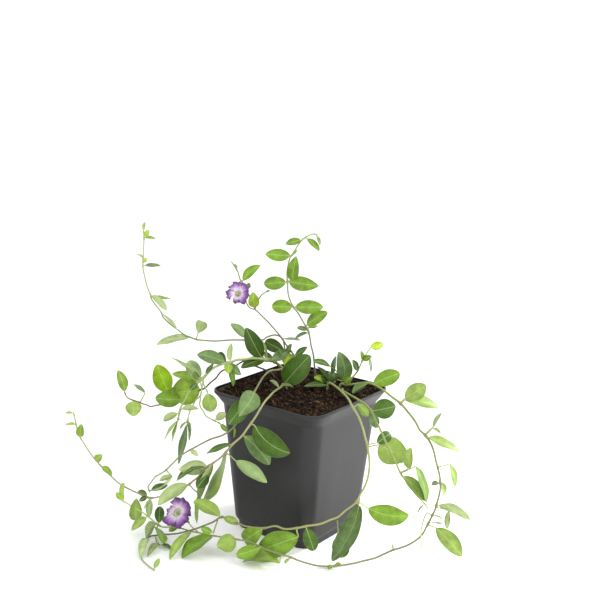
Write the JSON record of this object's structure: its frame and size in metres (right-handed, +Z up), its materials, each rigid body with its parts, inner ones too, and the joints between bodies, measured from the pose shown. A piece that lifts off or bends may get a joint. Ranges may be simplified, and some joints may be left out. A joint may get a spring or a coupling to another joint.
{
  "type": "potted periwinkle",
  "caption": "Lesser periwinkle (Vinca minor) in a square black nursery pot: trailing leafy stems with violet flowers hang over the rim and lie on the ground in front.",
  "frame": {"origin": "centre of the pot's flat underside", "axes": "+Z up, +X along the plant's spread to the right as seen from the front, +Y towards the back"},
  "size_m": [0.2724, 0.1366, 0.2099],
  "materials": {
    "pot_plastic": "moulded black plastic, satin",
    "compost": "rough dark compost",
    "foliage": "satin leaf, glossy on the upper face",
    "petal": "soft violet petal"
  },
  "bodies": {
    "root": {"pot": "pot_plastic", "soil": "compost", "upper_left_runner": "foliage", "upright_stem": "foliage", "flowering_stem": "foliage", "left_arching_stem": "foliage", "dark_left_stem": "foliage", "left_rim_runner": "foliage", "front_left_runner": "foliage", "front_runner": "foliage", "long_runner": "foliage", "inner_right_stem": "foliage", "crown_shoot": "foliage", "right_young_shoot": "foliage", "upper_flower": "petal", "lower_flower": "petal"}
  },
  "joints": []
}
